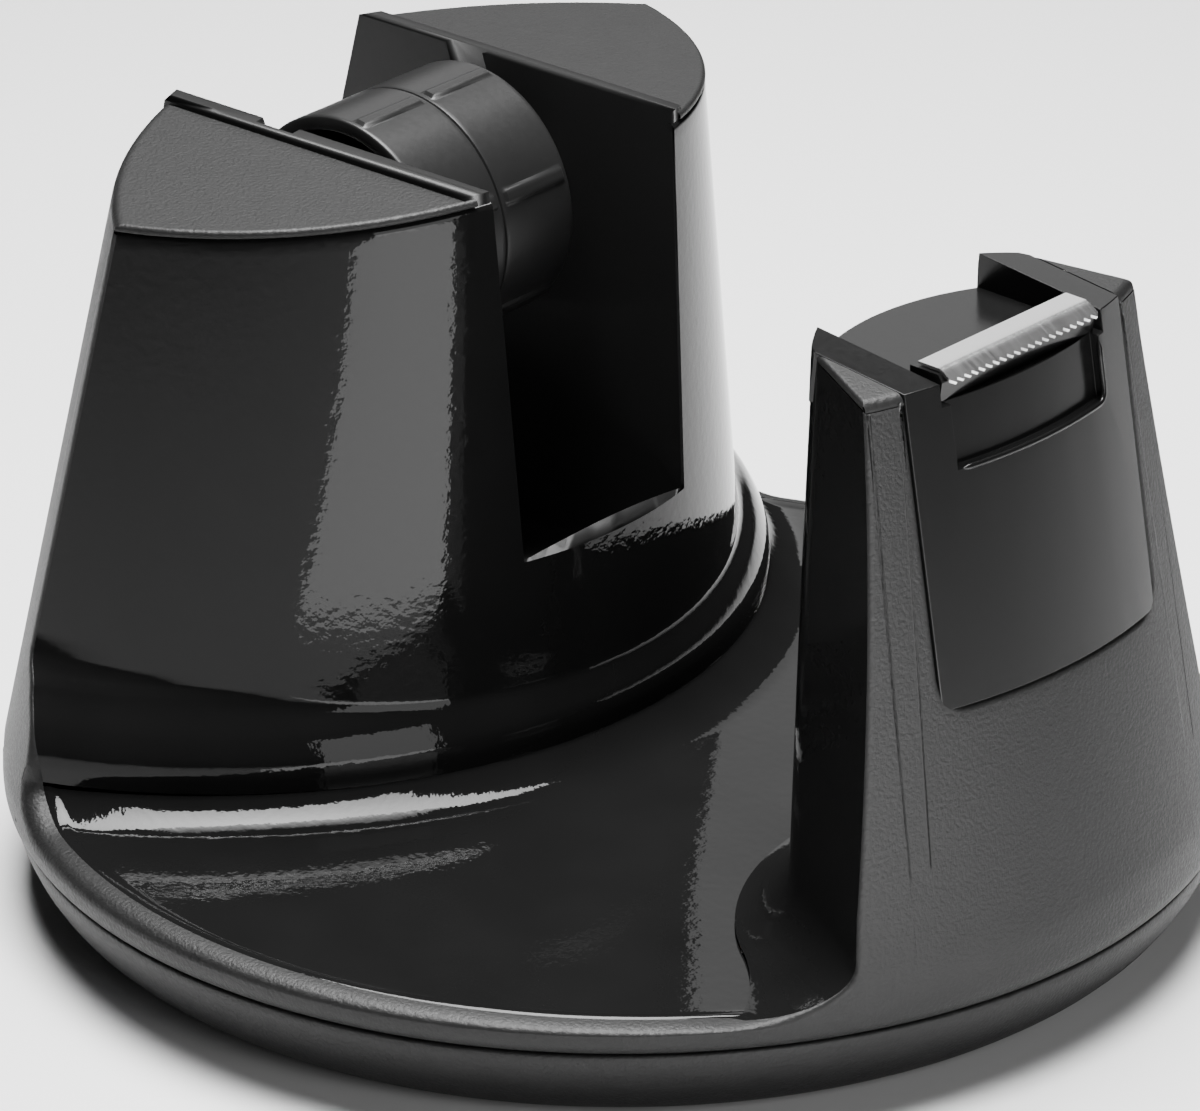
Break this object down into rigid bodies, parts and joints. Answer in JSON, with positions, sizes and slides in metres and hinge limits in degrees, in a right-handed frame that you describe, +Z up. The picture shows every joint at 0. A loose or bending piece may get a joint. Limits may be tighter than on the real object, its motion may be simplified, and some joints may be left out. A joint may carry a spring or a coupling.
{
  "type": "tape dispenser",
  "caption": "Weighted round desk tape dispenser with a rear tower holding a spinning lift-out core and a lower front tower carrying a toothed cutter.",
  "frame": {"origin": "centre of the foot on the table", "axes": "+X forward from the rear tower to the blade, +Y to the left, +Z up"},
  "size_m": [0.1135, 0.1134, 0.0696],
  "materials": {
    "matte_black": "fine spark-eroded texture, matte",
    "gloss_black": "high gloss",
    "satin_black": "smooth, semi-matte",
    "hub_plastic": "smooth, semi-matte",
    "blade_steel": "polished stainless steel",
    "axle_steel": "ground steel",
    "ballast_iron": "rough cast",
    "foam": "closed-cell foam",
    "plate_black": "matte",
    "pad_rubber": "soft, slightly ribbed",
    "screw_steel": "zinc plated"
  },
  "bodies": {
    "base": {"outer_shell": "matte_black", "base_ring": "matte_black", "saddle": "gloss_black", "roll_cradle": "satin_black", "cutter_carrier": "satin_black", "blade_holder": "satin_black", "cutter_blade": "blade_steel", "ballast_weight": "ballast_iron", "ballast_foam": "foam", "base_plate": "plate_black", "nonslip_pad": "pad_rubber", "base_screws": "screw_steel", "ballast_screws": "screw_steel", "saddle_screws": "screw_steel", "cradle_screws": "screw_steel", "carrier_screws": "screw_steel", "holder_screws": "screw_steel"},
    "axle": {"hub_axle": "axle_steel"},
    "hub": {"hub_left": "hub_plastic", "hub_right": "hub_plastic"}
  },
  "joints": [
    {"name": "axle_lift", "type": "slide", "parent": "base", "child": "axle", "axis": [-0.3697, 0, 0.9291], "range_m": [0, 0.014]},
    {"name": "hub_spin", "type": "hinge", "parent": "axle", "child": "hub", "pos_m": [-0.0259, 0, 0.0573], "axis": [0, 1, 0], "continuous": true}
  ]
}
